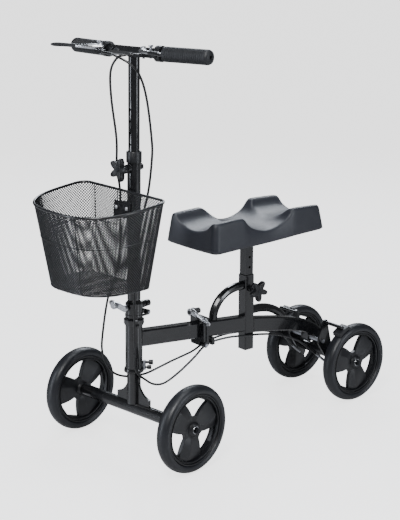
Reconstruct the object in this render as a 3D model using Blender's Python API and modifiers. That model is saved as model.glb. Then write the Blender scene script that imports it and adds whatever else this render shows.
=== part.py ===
"""Knee scooter: a steerable two-half frame on four wheels, with a height-adjustable
knee pad, a folding handlebar column with a basket, and hand brakes on the rear wheels.

Metres, +Z up.  The scooter faces -Y and its rider's left is +X.  The origin is on the
ground under the middle of the overall box.  Inside the script every piece is placed from
the ground point under the front axle, which is the empty "front_axle_ground".
"""
import math

import bmesh
import bpy
from mathutils import Matrix, Vector

# ---------------------------------------------------------------- driving dimensions
WHEEL_R = 0.100
TYRE_W = 0.034
WHEELBASE = 0.616
FRONT_TRACK = 0.366
REAR_TRACK = 0.208
FRONT_AXLE_Y = -0.2464          # front axle, from the middle of the overall length
STEER = math.radians(7.2)       # the front end rests turned a little to the left
RAKE = math.radians(1.0)

FRONT_SPOKES, REAR_SPOKES = (185, 215), (206, 190)   # one opening of each wheel, degrees

GAP = 0.0003                    # between neighbouring pieces
BEAM_W, BEAM_H = 0.0254, 0.038
BEAM_Z0, BEAM_SLOPE = 0.2667, -0.0944     # beam centre height above the front axle, fall
HEAD_R, STEERER_R, FORK_R = 0.0195, 0.0127, 0.0159
AXLE_TUBE_R = 0.0143
REAR_AXLE_TUBE_R = 0.0127
HINGE_Y, HINGE_Z = 0.1952, 0.214          # frame hinge pin
HINGE_W, HINGE_TOP, HINGE_T = 0.050, 0.2812, 0.0088
LATCH_Z = 0.0757                # latch axis above the hinge pin
SEAT_Y = 0.342
SLEEVE_W, SLEEVE_IN = 0.028, 0.0238
SLEEVE_BOTTOM, SLEEVE_TOP = 0.169, 0.357
POST_W = 0.0228
POST_BOTTOM, POST_TOP = 0.245, 0.4370
PAD_FRONT, PAD_REAR = 0.168, 0.512
PAD_W, PAD_Z, PAD_TOP = 0.176, 0.4465, 0.520

# steered parts: heights from the front axle, along the steering axis
COLUMN_R, COLUMN_IN, INNER_R, INNER_IN = 0.0150, 0.0133, 0.0127, 0.0109
HEAD_BOTTOM, HEAD_TOP = 0.0973, 0.1997
FOLD_Z = 0.2250                 # parting face of the column's fold joint
FOLD_PIN_Y, FOLD_PIN_Z = 0.0285, 0.2262
SKEWER_Z = 0.2420
COLUMN_BOTTOM, COLUMN_TOP = 0.2585, 0.585
INNER_BOTTOM = 0.380
COLUMN_KNOB_Z = 0.558
BAR_Z, BAR_R, BAR_Y = 0.809, 0.0111, -0.004
BAR_SWEEP = math.radians(8.8)
BAR_BEND_X, BAR_END_X = 0.0575, 0.204
GRIP_R, GRIP_LEN = 0.0165, 0.116
LEVER_PIVOT = (0.066, -0.036)
LOCK_PIN = (0.0800, -0.0285)
BASKET_RIM_Z, BASKET_BASE_Z = 0.509, 0.314
BASKET_HALF_W, BASKET_DEPTH, BASKET_TAPER = 0.134, 0.200, 0.77

# rear brakes
BRAKE_PIVOT_Y, BRAKE_PIVOT_Z = 0.552, 0.1557
SHOE_ANGLE = math.radians(117.0)

ROUND = 20                      # facets round an ordinary tube
SIDES = (("left", 1), ("right", -1))


# ---------------------------------------------------------------- scene and materials
for old in list(bpy.data.objects):
    bpy.data.objects.remove(old, do_unlink=True)

parts = bpy.data.collections.new("knee_scooter")
cutters = bpy.data.collections.new("cutters")
bpy.context.scene.collection.children.link(parts)
bpy.context.scene.collection.children.link(cutters)

FINISHES = {
    "black_paint": ((0.012, 0.013, 0.015), 0.22, 0.3),
    "black_plastic": ((0.018, 0.019, 0.022), 0.45, 0.0),
    "tyre": ((0.022, 0.023, 0.026), 0.55, 0.0),
    "pad": ((0.060, 0.066, 0.080), 0.55, 0.0),
    "grip": ((0.045, 0.048, 0.056), 0.6, 0.0),
    "silver": ((0.62, 0.62, 0.64), 0.3, 1.0),
    "zinc": ((0.50, 0.51, 0.54), 0.35, 1.0),
    "cable": ((0.015, 0.015, 0.017), 0.4, 0.0),
    "basket": ((0.020, 0.021, 0.024), 0.4, 0.4),
}


def finish(name, kind):
    """A Principled material of the given kind for one part."""
    colour, rough, metal = FINISHES[kind]
    mat = bpy.data.materials.new(name)
    mat.use_nodes = True
    shader = mat.node_tree.nodes["Principled BSDF"]
    shader.inputs["Base Color"].default_value = (*colour, 1.0)
    shader.inputs["Roughness"].default_value = rough
    shader.inputs["Metallic"].default_value = metal
    return mat


def empty(name, parent=None, loc=(0, 0, 0), rot=(0, 0, 0), order="XYZ"):
    obj = bpy.data.objects.new(name, None)
    obj.rotation_mode = order
    obj.location, obj.rotation_euler, obj.parent = loc, rot, parent
    parts.objects.link(obj)
    return obj


def place(name, data, parent, kind, loc=(0, 0, 0), rot=(0, 0, 0)):
    """Put a mesh or curve into the assembly as one named part."""
    obj = bpy.data.objects.new(name, data)
    parts.objects.link(obj)
    obj.location, obj.rotation_euler, obj.parent = loc, rot, parent
    data.materials.append(finish(name, kind))
    return obj


# ---------------------------------------------------------------- shape helpers
def smooth(mesh):
    mesh.shade_smooth()
    mesh.set_sharp_from_angle(angle=math.radians(35))


def box_mesh(name, size, centre=(0, 0, 0)):
    mesh = bpy.data.meshes.new(name)
    bm = bmesh.new()
    bmesh.ops.create_cube(bm, size=1.0, matrix=Matrix.Translation(centre) @ Matrix.Diagonal((*size, 1)))
    bm.to_mesh(mesh)
    bm.free()
    return mesh


def cylinder_mesh(name, radius, length, matrices=(Matrix(),), sides=ROUND):
    """One or more cylinders along local Z."""
    mesh = bpy.data.meshes.new(name)
    bm = bmesh.new()
    for matrix in matrices:
        bmesh.ops.create_cone(bm, cap_ends=True, segments=sides, radius1=radius, radius2=radius,
                              depth=length, matrix=matrix)
    bm.to_mesh(mesh)
    bm.free()
    smooth(mesh)
    return mesh


def box(name, size, centre, parent, kind, bevel=0.0, loc=(0, 0, 0), rot=(0, 0, 0)):
    obj = place(name, box_mesh(name, size, centre), parent, kind, loc, rot)
    if bevel:
        add_bevel(obj, bevel)
    return obj


def add_bevel(obj, width, segments=1):
    mod = obj.modifiers.new("edges", "BEVEL")
    mod.width, mod.segments, mod.limit_method = width, segments, "ANGLE"
    mod.angle_limit = math.radians(40)


def turned(name, profile, parent, kind, loc=(0, 0, 0), rot=(0, 0, 0), steps=ROUND, ring=False):
    """Turn (radius, height) points about local Z: top to bottom down the outside."""
    mesh = bpy.data.meshes.new(name)
    count = len(profile)
    edges = [(i, i + 1) for i in range(count - 1)] + ([(count - 1, 0)] if ring else [])
    mesh.from_pydata([(r, 0, h) for r, h in profile], edges, [])
    obj = place(name, mesh, parent, kind, loc, rot)
    mod = obj.modifiers.new("turn", "SCREW")
    mod.steps = mod.render_steps = steps
    mod.use_merge_vertices, mod.merge_threshold = True, 0.00002
    mod.use_smooth_shade = True
    return obj


def sleeve(name, outer, inner, low, high, parent, kind, **extra):
    """A round tube between two heights."""
    loop = [(inner, high), (outer, high), (outer, low), (inner, low)]
    return turned(name, loop, parent, kind, ring=True, **extra)


def rod(name, radius, start, end, parent, kind, sides=12):
    """A solid round bar between two points."""
    start, end = Vector(start), Vector(end)
    turn = (end - start).to_track_quat("Z", "Y").to_matrix().to_4x4()
    matrix = Matrix.Translation((start + end) / 2) @ turn
    mesh = cylinder_mesh(name, radius, (end - start).length, [matrix], sides)
    return place(name, mesh, parent, kind)


def rods(name, radius, spans, parent, kind, sides=12):
    """Several separate bars of one size in one part."""
    mesh = bpy.data.meshes.new(name)
    bm = bmesh.new()
    for start, end in spans:
        start, end = Vector(start), Vector(end)
        turn = (end - start).to_track_quat("Z", "Y").to_matrix().to_4x4()
        bmesh.ops.create_cone(bm, cap_ends=True, segments=sides, radius1=radius, radius2=radius,
                              depth=(end - start).length, matrix=Matrix.Translation((start + end) / 2) @ turn)
    bm.to_mesh(mesh)
    bm.free()
    smooth(mesh)
    return place(name, mesh, parent, kind)


def arc(cx, cy, radius, start, end, count):
    """Points on an arc, angles in degrees."""
    step = (end - start) / (count - 1)
    return [(cx + radius * math.cos(math.radians(start + step * i)),
             cy + radius * math.sin(math.radians(start + step * i))) for i in range(count)]


def flat_curve(name, loops, thickness):
    """A flat outline, with any further loops as holes, extruded to a thickness."""
    curve = bpy.data.curves.new(name, "CURVE")
    curve.dimensions, curve.fill_mode = "2D", "BOTH"
    curve.extrude = thickness / 2
    curve.resolution_u = 1
    curve.render_resolution_u = 0
    for loop in loops:
        spline = curve.splines.new("POLY")
        spline.points.add(len(loop) - 1)
        for point, (x, y) in zip(spline.points, loop):
            point.co = (x, y, 0, 1)
        spline.use_cyclic_u = True
    return curve


def plate(name, loops, thickness, parent, kind, loc=(0, 0, 0), rot=(0, 0, 0), bevel=0.0, segments=1):
    obj = place(name, solid_mesh(name, flat_curve(name, loops, thickness)), parent, kind, loc, rot)
    if bevel:
        add_bevel(obj, bevel, segments)
    return obj


def solid_mesh(name, curve):
    """The closed mesh of a curve, for a part that is to be cut."""
    pattern = bpy.data.objects.new(name + "_pattern", curve)
    parts.objects.link(pattern)
    depsgraph = bpy.context.evaluated_depsgraph_get()
    mesh = bpy.data.meshes.new_from_object(pattern.evaluated_get(depsgraph))
    bpy.data.objects.remove(pattern, do_unlink=True)
    bm = bmesh.new()
    bm.from_mesh(mesh)
    bmesh.ops.remove_doubles(bm, verts=bm.verts, dist=0.00002)
    bmesh.ops.recalc_face_normals(bm, faces=bm.faces)
    bm.to_mesh(mesh)
    bm.free()
    mesh.name = name
    return mesh


SIDE_ON = (math.pi / 2, 0, math.pi / 2)       # an outline's x, y become the scooter's Y, Z
FACE_ON = (math.pi / 2, 0, 0)                 # an outline's x, y become the scooter's X, Z


def smooth_route(points, count):
    """Even points on a Catmull-Rom curve through the given ones."""
    pts = [Vector(p) for p in points]
    pts = [pts[0] * 2 - pts[1]] + pts + [pts[-1] * 2 - pts[-2]]
    fine = []
    for a, b, c, d in zip(pts, pts[1:], pts[2:], pts[3:]):
        for i in range(24):
            t = i / 24
            fine.append(0.5 * (2 * b + (c - a) * t + (2 * a - 5 * b + 4 * c - d) * t * t
                               + (3 * b - a - 3 * c + d) * t ** 3))
    fine.append(pts[-2])
    runs = [0.0]
    for a, b in zip(fine, fine[1:]):
        runs.append(runs[-1] + (b - a).length)
    even, j = [], 0
    for i in range(count):
        want = runs[-1] * i / (count - 1)
        while j < len(runs) - 2 and runs[j + 1] < want:
            j += 1
        span = runs[j + 1] - runs[j]
        even.append(fine[j].lerp(fine[j + 1], (want - runs[j]) / span))
    return even


def round_curve(name, route, radius, resolution=2, cyclic=False):
    """A round bar along a route."""
    curve = bpy.data.curves.new(name, "CURVE")
    curve.dimensions, curve.bevel_depth, curve.bevel_resolution = "3D", radius, resolution
    curve.use_fill_caps = True
    curve.resolution_u = 1
    curve.render_resolution_u = 0
    spline = curve.splines.new("POLY")
    spline.points.add(len(route) - 1)
    for point, co in zip(spline.points, route):
        point.co = (*co, 1)
    spline.use_cyclic_u = cyclic
    return curve


def tube(name, route, radius, parent, kind, resolution=2, cyclic=False):
    return place(name, round_curve(name, route, radius, resolution, cyclic), parent, kind)


def cut(target, mesh, parent=None, loc=(0, 0, 0), rot=(0, 0, 0)):
    """Take a closed mesh away from a part."""
    tool = bpy.data.objects.new(mesh.name, mesh)
    cutters.objects.link(tool)
    tool.location, tool.rotation_euler, tool.parent = loc, rot, parent
    tool.hide_render, tool.display_type = True, "WIRE"
    mod = target.modifiers.new("cut", "BOOLEAN")
    mod.operation, mod.solver, mod.object = "DIFFERENCE", "EXACT", tool


def weld(name, *others):
    """Unite overlapping solids into the first one, which keeps its name."""
    first = bpy.data.objects[name]
    for other in others:
        tool = bpy.data.objects[other]
        parts.objects.unlink(tool)
        cutters.objects.link(tool)
        tool.hide_render, tool.display_type = True, "WIRE"
        mod = first.modifiers.new("weld_" + other, "BOOLEAN")
        mod.operation, mod.solver, mod.object = "UNION", "EXACT", tool


def beam_z(y):
    """Height of the main beam's centre line."""
    return BEAM_Z0 + BEAM_SLOPE * y


def mirror_x(points, side):
    """The same outline on the rider's left (1) or right (-1), still anticlockwise."""
    out = [(x * side, y) for x, y in points]
    return out if side > 0 else out[::-1]


# ---------------------------------------------------------------- empties on the axes
ground = empty("front_axle_ground", loc=(0, FRONT_AXLE_Y, 0))
head_axis = empty("head_axis", ground, (0, 0, WHEEL_R), (-RAKE, 0, 0))
steering = empty("steering_axis", head_axis, rot=(0, 0, STEER))
hinge_axis = empty("frame_hinge_axis", ground, (0, HINGE_Y, HINGE_Z))


# ---------------------------------------------------------------- frame, front half
def front_frame():
    start, end = 0.010, HINGE_Y - HINGE_T / 2
    tilt = math.atan(BEAM_SLOPE)
    length = (end - start) / math.cos(tilt)
    beam = box("front_beam", (BEAM_W, length, BEAM_H), (0, 0, 0), ground, "black_paint", 0.003,
               (0, (start + end) / 2, beam_z((start + end) / 2)), (tilt, 0, 0))
    cut(beam, cylinder_mesh("head_cutter", HEAD_R + GAP, 0.3, sides=32), head_axis, (0, 0, 0.15))
    sleeve("head_tube", HEAD_R, 0.0160, HEAD_BOTTOM, HEAD_TOP, head_axis, "black_paint")
    lower = [(0.0131, HEAD_BOTTOM - GAP), (0.0215, HEAD_BOTTOM - GAP), (0.0225, 0.094), (0.0225, 0.089),
             (0.0195, 0.0868), (0.0131, 0.0868)]
    upper = [(0.0131, 0.2155), (0.0200, 0.2155), (0.0232, 0.2130), (0.0232, 0.2040), (0.0215, HEAD_TOP + GAP),
             (0.0131, HEAD_TOP + GAP)]
    turned("headset_lower", lower, head_axis, "zinc", ring=True)
    turned("headset_upper", upper, head_axis, "black_paint", ring=True)


def hinge_leaf(side):
    """Knuckle outline about the pin: side -1 joins the front half, 1 the rear half."""
    eye = arc(0, 0, 0.0042, 0, 330, 12)
    rim = arc(0, 0, 0.0065, 205, 430, 12)
    outline = [(-0.0088, 0.0100), (-0.0088, -0.0020)] + rim + [(-0.0010, 0.0100)]
    if side > 0:
        outline = [(-x, y) for x, y in outline][::-1]
    return [outline, eye[::-1]]


def frame_hinge():
    half = HINGE_W / 2
    low = 0.0072
    for name, side, parent in (("front_hinge_flange", -1, hinge_axis), ("rear_hinge_flange", 1, hinge_axis)):
        middle = side * (GAP + HINGE_T / 2)
        size = (HINGE_W, HINGE_T - GAP, HINGE_TOP - HINGE_Z - low)
        flange = box(name, size, (0, middle, low + size[2] / 2), parent, "black_paint", 0.0015)
    plate("front_hinge_knuckle", hinge_leaf(-1), 0.0240, hinge_axis, "black_paint", rot=SIDE_ON)
    for side_name, side in SIDES:
        plate("rear_hinge_knuckle_" + side_name, hinge_leaf(1), 0.0122, hinge_axis, "black_paint",
              (side * 0.0185, 0, 0), SIDE_ON)
    rod("hinge_pin", 0.0040, (-0.0275, 0, 0), (0.0275, 0, 0), hinge_axis, "silver", 12)
    lug = box("latch_lug", (0.015, HINGE_T - GAP - 0.0004, 0.016), (0, 0, 0), hinge_axis, "black_paint", 0.0,
              (-0.014, -GAP - HINGE_T / 2, LATCH_Z - 0.0012))
    across = Matrix.Rotation(math.pi / 2, 4, "X")
    cut(lug, cylinder_mesh("latch_bore", 0.0038, 0.03, [across], 12), hinge_axis, (-0.014, 0, LATCH_Z))
    bolt = [(0, 0.0098), (0.0034, 0.0098), (0.0034, -GAP), (0.0066, -GAP), (0.0070, -0.0010), (0.0070, -0.0100),
            (0.0060, -0.0112), (0, -0.0112)]
    turned("latch_bolt", bolt, hinge_axis, "black_plastic", (-0.014, 0, LATCH_Z), (math.pi / 2, 0, 0), 12)
    latch = empty("latch_axis", hinge_axis, (-0.014, 0, LATCH_Z))
    cap = [(0, 0.0035), (0.0058, 0.0035), (0.0070, 0.0020), (0.0070, -0.0060), (0, -0.0060)]
    turned("latch_cap", cap, latch, "black_plastic", (0, -0.0180, 0), (math.pi / 2, 0, 0), 16)
    eye = arc(0, 0, 0.0100, 80, 275, 9)
    tip = arc(0.0680, -0.0130, 0.0065, -95, 65, 7)
    plate("latch_lever", [eye + tip], 0.0075, latch, "silver", (0, -0.0144, 0), FACE_ON, 0.0012)


# ---------------------------------------------------------------- frame, rear half
def tail_outline(samples=15):
    """Side view of the tail beam, anticlockwise: it drops to the rear axle and tapers."""
    stations = [(0, 0.3563, 0.2273), (0, 0.3800, 0.2235), (0, 0.4700, 0.2070), (0, 0.5400, 0.1860),
                (0, 0.5850, 0.1560), (0, 0.6170, 0.1100)]
    line = [point.yz for point in smooth_route(stations, samples)]
    top, low = [], []
    for i, here in enumerate(line):
        step = line[min(i + 1, samples - 1)] - line[max(i - 1, 0)]
        across = Vector((-step.y, step.x)).normalized() * BEAM_H / 2 * (1 - 0.24 * i / (samples - 1))
        top.append(here + across)
        low.append(here - across)
    top[0].x = low[0].x = stations[0][1]
    return [tuple(p) for p in low] + [tuple(p) for p in reversed(top)]


def rear_frame():
    start, end = HINGE_Y + HINGE_T / 2, SEAT_Y - SLEEVE_W / 2 - GAP
    tilt = math.atan(BEAM_SLOPE)
    length = (end + 0.006 - start) / math.cos(tilt)
    middle = (start + end + 0.006) / 2
    beam = box("mid_beam", (BEAM_W, length, BEAM_H), (0, 0, 0), ground, "black_paint", 0.003,
               (0, middle, beam_z(middle)), (tilt, 0, 0))
    cut(beam, box_mesh("sleeve_front_cutter", (0.1, 0.02, 0.2)), ground, (0, end + 0.01, 0.25))
    tail_mesh = solid_mesh("tail_beam", flat_curve("tail_beam", [tail_outline()], BEAM_W))
    tail = place("tail_beam", tail_mesh, ground, "black_paint", rot=SIDE_ON)
    add_bevel(tail, 0.003)
    saddle = Matrix.Rotation(math.pi / 2, 4, "Y")
    cut(tail, cylinder_mesh("axle_cutter", REAR_AXLE_TUBE_R + GAP, 0.1, [saddle], 32), ground,
        (0, WHEELBASE, WHEEL_R))
    half, inner = SLEEVE_W / 2, SLEEVE_IN / 2
    outer_loop = [(half, -half + 0.002), (half, half - 0.002), (half - 0.002, half), (-half + 0.002, half),
                  (-half, half - 0.002), (-half, -half + 0.002), (-half + 0.002, -half), (half - 0.002, -half)]
    inner_loop = [(inner, -inner), (-inner, -inner), (-inner, inner), (inner, inner)]
    plate("seat_sleeve", [outer_loop, inner_loop], SLEEVE_TOP - SLEEVE_BOTTOM, ground, "black_paint",
          (0, SEAT_Y, (SLEEVE_TOP + SLEEVE_BOTTOM) / 2))
    front_arch = [(0, 0.2365, 0.2643), (0, 0.2400, 0.2840), (0, 0.2560, 0.3080), (0, 0.2800, 0.3235),
                  (0, 0.3050, 0.3300), (0, 0.3275, 0.3310)]
    rear_arch = [(0, 0.3565, 0.2640), (0, 0.3900, 0.2630), (0, 0.4200, 0.2560), (0, 0.4450, 0.2430),
                 (0, 0.4610, 0.2290)]
    tilt = math.atan(BEAM_SLOPE)
    seat_on_beam = (0, 0.2400, beam_z(0.2400) + BEAM_H / 2 + GAP)
    for name, route, foot, angle in (("front_arch_tube", front_arch, seat_on_beam, tilt),
                                     ("rear_arch_tube", rear_arch, (0, 0.4480, 0.2325), math.radians(-11.5))):
        mesh = solid_mesh(name, round_curve(name, smooth_route(route, 12), 0.0105, 3))
        smooth(mesh)
        arch = place(name, mesh, ground, "black_paint")
        cut(arch, box_mesh(name + "_cutter", (0.06, 0.12, 0.05), (0, 0, -0.025)), ground, foot, (angle, 0, 0))


def star(lobes, outer, inner, per_lobe=7):
    """Outline of a star knob."""
    points = []
    for i in range(lobes * per_lobe):
        turn = 2 * math.pi * i / (lobes * per_lobe)
        wave = (0.5 + 0.5 * math.cos(lobes * turn)) ** 1.6
        radius = inner + (outer - inner) * wave
        points.append((radius * math.cos(turn), radius * math.sin(turn)))
    return points


def clamp_knob(name, axis_empty, boss_r=0.0085):
    """Star knob on a clamp bolt, standing along the empty's local Z."""
    boss = [(0.0046, 0.0075), (boss_r, 0.0075), (boss_r, -0.0013), (0.0046, -0.0013)]
    turned(name + "_boss", boss, axis_empty, "black_paint", ring=True, steps=16)
    plate(name, [star(5, 0.0270, 0.0115)], 0.0110, axis_empty, "black_plastic", (0, 0, 0.0295))
    shank = [(0, 0.0300), (0.0085, 0.0300), (0.0065, 0.0100), (0.0041, 0.0090), (0.0041, 0.0006), (0, 0.0006)]
    turned(name + "_bolt", shank, axis_empty, "black_plastic", steps=16)


def seat():
    half = POST_W / 2
    wall = half - 0.002
    loops = [[(half, -half), (half, half), (-half, half), (-half, -half)],
             [(wall, -wall), (-wall, -wall), (-wall, wall), (wall, wall)]]
    mesh = solid_mesh("seat_post", flat_curve("seat_post", loops, POST_TOP - POST_BOTTOM))
    post = place("seat_post", mesh, ground, "black_paint", (0, SEAT_Y, (POST_TOP + POST_BOTTOM) / 2))
    across = Matrix.Rotation(math.pi / 2, 4, "Y")
    holes = [Matrix.Translation((0.010, 0, z)) @ across for z in (0.276, 0.301, 0.326, 0.351, 0.376, 0.401)]
    cut(post, cylinder_mesh("post_holes_cutter", 0.0032, 0.010, holes, 10), ground, (0, SEAT_Y, 0))
    tilt = math.atan2(0.012, PAD_REAR - PAD_FRONT)
    box("seat_plate", (0.105, 0.282, 0.005), (0, 0, 0), ground, "black_paint", 0.001,
        (0, 0.330, 0.4492), (tilt, 0, 0))
    box("seat_post_cap", (0.050, 0.056, 0.0096), (0, 0, 0), ground, "black_paint", 0.0,
        (0, SEAT_Y, 0.4430), (tilt, 0, 0))


def knee_pad():
    """A drafted block with a lengthwise leg channel and a dip across the middle."""
    mesh = bpy.data.meshes.new("knee_pad")
    bm = bmesh.new()
    nx, ny = 8, 12
    length = PAD_REAR - PAD_FRONT
    grid = []
    for j in range(ny + 1):
        v = j / ny
        row = []
        for i in range(nx + 1):
            u = 2 * i / nx - 1
            x = u * (PAD_W / 2 - 0.006)
            y = PAD_FRONT + 0.006 + v * (length - 0.012)
            channel = 0.5 + 0.5 * math.cos(math.pi * min(abs(u) / 0.75, 1.0))
            dip = 0.5 + 0.5 * math.cos(math.pi * min(abs(v - 0.52) / 0.24, 1.0))
            sink = max(0.030 * channel, 0.036 * dip)
            edge = 0.007 if abs(u) > 0.99 or v < 0.01 or v > 0.99 else 0.0
            row.append(bm.verts.new((x, y, PAD_TOP - max(sink, edge))))
        grid.append(row)
    for j in range(ny):
        for i in range(nx):
            bm.faces.new((grid[j][i], grid[j][i + 1], grid[j + 1][i + 1], grid[j + 1][i]))
    rim = [e for e in bm.edges if e.is_boundary]
    skirt = bmesh.ops.extrude_edge_only(bm, edges=rim)
    low = [v for v in skirt["geom"] if isinstance(v, bmesh.types.BMVert)]
    for vert in low:
        vert.co.x *= (PAD_W / 2) / (PAD_W / 2 - 0.006)
        vert.co.y = PAD_FRONT + (vert.co.y - PAD_FRONT - 0.006) * length / (length - 0.012)
        vert.co.z = PAD_Z + 0.012 * (vert.co.y - PAD_FRONT) / length
    bmesh.ops.contextual_create(bm, geom=[e for e in bm.edges if e.is_boundary])
    bmesh.ops.recalc_face_normals(bm, faces=bm.faces)
    bm.to_mesh(mesh)
    bm.free()
    smooth(mesh)
    place("knee_pad", mesh, ground, "pad")


# ---------------------------------------------------------------- wheels
def opening(middle, inner=0.030, outer=0.0700, samples=5):
    """One of the wheel's three openings, clockwise: bell-shaped, narrow at the hub."""
    left, right = [], []
    for i in range(samples):
        k = i / (samples - 1)
        radius = inner + (outer - inner) * k
        half = math.radians(4 + 30 * k ** 0.8)
        left.append((radius * math.cos(middle + half), radius * math.sin(middle + half)))
        right.append((radius * math.cos(middle - half), radius * math.sin(middle - half)))
    return left + right[::-1]


def wheel(name, parent, x, y, z, spoke_turn):
    """Tyre, three-spoke rim and bearings on one axis."""
    hub = empty(name + "_axis", parent, (x, y, z), (0, math.pi / 2, 0))
    half = TYRE_W / 2
    tread = [(WHEEL_R * 0.815, half * 0.62), (WHEEL_R * 0.90, half * 0.97), (WHEEL_R * 0.955, half * 0.86),
             (WHEEL_R * 0.988, half * 0.52), (WHEEL_R, 0), (WHEEL_R * 0.988, -half * 0.52),
             (WHEEL_R * 0.955, -half * 0.86), (WHEEL_R * 0.90, -half * 0.97), (WHEEL_R * 0.815, -half * 0.62)]
    turned(name + "_tyre", tread, hub, "tyre", steps=28, ring=True)
    outer = arc(0, 0, WHEEL_R * 0.809, 0, 360 * 27 / 28, 28)
    bore = arc(0, 0, 0.0098, 0, 330, 12)[::-1]
    holes = [opening(spoke_turn + i * 2 * math.pi / 3) for i in range(3)]
    plate(name, [outer, bore] + holes, 0.0200, hub, "black_plastic")
    shell = [(0.0046, 0.0130), (0.0150, 0.0130), (0.0165, 0.0115), (0.0165, -0.0115), (0.0150, -0.0130),
             (0.0046, -0.0130)]
    turned(name + "_hub", shell, hub, "zinc", ring=True, steps=16)


def wheels():
    for (side_name, side), front_turn, rear_turn in zip(SIDES, FRONT_SPOKES, REAR_SPOKES):
        wheel("front_wheel_" + side_name, steering, side * FRONT_TRACK / 2, 0, 0, math.radians(front_turn))
        wheel("rear_wheel_" + side_name, ground, side * REAR_TRACK / 2, WHEELBASE, WHEEL_R,
              math.radians(rear_turn))


def axle(name, parent, track, centre):
    """An axle bar through both wheels, with a nut at each end."""
    inner, outer = track / 2 + 0.0135, track / 2 + 0.0205
    profile = [(0, outer), (0.0085, outer), (0.0085, inner), (0.0042, inner), (0.0042, -inner), (0.0085, -inner),
               (0.0085, -outer), (0, -outer)]
    turned(name, profile, parent, "zinc", centre, (0, math.pi / 2, 0), 12)


# ---------------------------------------------------------------- steered lower end
def fork():
    """Axle tube, upright tube and two gussets, welded into one."""
    end = FRONT_TRACK / 2 - 0.0135
    sleeve("front_axle_tube", AXLE_TUBE_R, 0.0100, -end, end, steering, "black_paint",
           rot=(0, math.pi / 2, 0))
    profile = [(0, 0.2160), (STEERER_R, 0.2160), (STEERER_R, 0.0865), (FORK_R, 0.0862), (FORK_R, 0.0120), (0, 0.0120)]
    turned("fork", profile, steering, "black_paint")
    for side_name, side in SIDES:
        lean = arc(0.0585, 0.0720, 0.0420, 185, 262, 8)
        web = [(0.0100, 0.0120), (0.0520, 0.0120), (0.0520, 0.0300)] + lean[::-1][1:] + [(0.0165, 0.0740),
              (0.0100, 0.0740)]
        plate("fork_gusset_" + side_name, [mirror_x(web, side)], 0.0060, steering, "black_paint", rot=FACE_ON)
    axle("front_axle", steering, FRONT_TRACK, (0, 0, 0))


def rear_axle():
    end = REAR_TRACK / 2 - 0.0135
    centre = (0, WHEELBASE, WHEEL_R)
    sleeve("rear_axle_tube", REAR_AXLE_TUBE_R, 0.0095, -end, end, ground, "black_paint",
           loc=centre, rot=(0, math.pi / 2, 0))
    axle("rear_axle", ground, REAR_TRACK, centre)


# ---------------------------------------------------------------- column and its fold joint
def fold_joint():
    """Two halves of the column's hinge: ears below, a knuckle above, one pin."""
    base = [(0, FOLD_Z - GAP), (0.0205, FOLD_Z - GAP), (0.0205, 0.2195), (0.0165, 0.2180), (0.0165, 0.2163), (0, 0.2163)]
    turned("fold_base", base, steering, "black_paint")
    eye = arc(FOLD_PIN_Y, FOLD_PIN_Z, 0.0033, 0, 330, 12)
    ear = ([(0.0040, 0.2200)] + arc(FOLD_PIN_Y, FOLD_PIN_Z, 0.0062, -95, 150, 11)
           + [(0.0217, 0.2240), (0.0040, 0.2240)])
    for side_name, side in SIDES:
        plate("fold_ear_" + side_name, [ear, eye[::-1]], 0.0040, steering, "black_paint", (side * 0.0158, 0, 0),
              SIDE_ON)
    rod("fold_pin", 0.0030, (-0.0200, FOLD_PIN_Y, FOLD_PIN_Z), (0.0200, FOLD_PIN_Y, FOLD_PIN_Z), steering, "zinc")
    block = [(0, COLUMN_BOTTOM - GAP), (0.0128, COLUMN_BOTTOM - GAP), (0.0172, 0.2520), (0.0195, 0.2500),
             (0.0195, FOLD_Z + GAP), (0, FOLD_Z + GAP)]
    head = turned("fold_head", block, steering, "black_paint")
    knuckle = ([(0.0100, 0.2257)] + arc(FOLD_PIN_Y, FOLD_PIN_Z, 0.0058, 185, 420, 11)
               + [(0.0250, 0.2328), (0.0100, 0.2328)])
    plate("fold_knuckle", [knuckle, eye[::-1]], 0.0270, steering, "black_paint", rot=SIDE_ON)
    cut(head, cylinder_mesh("skewer_bore", 0.0043, 0.08, [Matrix.Rotation(math.pi / 2, 4, "X")], 12), steering,
        (0, 0, SKEWER_Z))


def fold_lock():
    """Quick-release skewer through the fold head: lever at the front, knob at the rear."""
    skewer = empty("skewer_axis", steering, (0, 0, SKEWER_Z), (math.pi / 2, 0, 0))
    shaft = [(0, 0.0242), (0.0038, 0.0242), (0.0038, -0.0200), (0.0085, -0.0202), (0.0085, -0.0300), (0.0055, -0.0320),
             (0.0055, -0.0350), (0.0078, -0.0352), (0.0078, -0.0460), (0, -0.0460)]
    turned("fold_skewer", shaft, skewer, "black_paint", steps=14)
    blade = arc(0, 0, 0.0080, -90, 90, 7) + arc(-0.0440, 0.0050, 0.0060, 95, 260, 6)
    plate("fold_lever", [blade], 0.0066, skewer, "silver", (0, 0, 0.0280), bevel=0.001)
    cap = [(0, 0.0385), (0.0078, 0.0385), (0.0090, 0.0370), (0.0090, 0.0300), (0, 0.0300)]
    turned("fold_lever_cap", cap, skewer, "black_plastic", (-0.0290, 0.0030, 0), steps=16)


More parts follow.
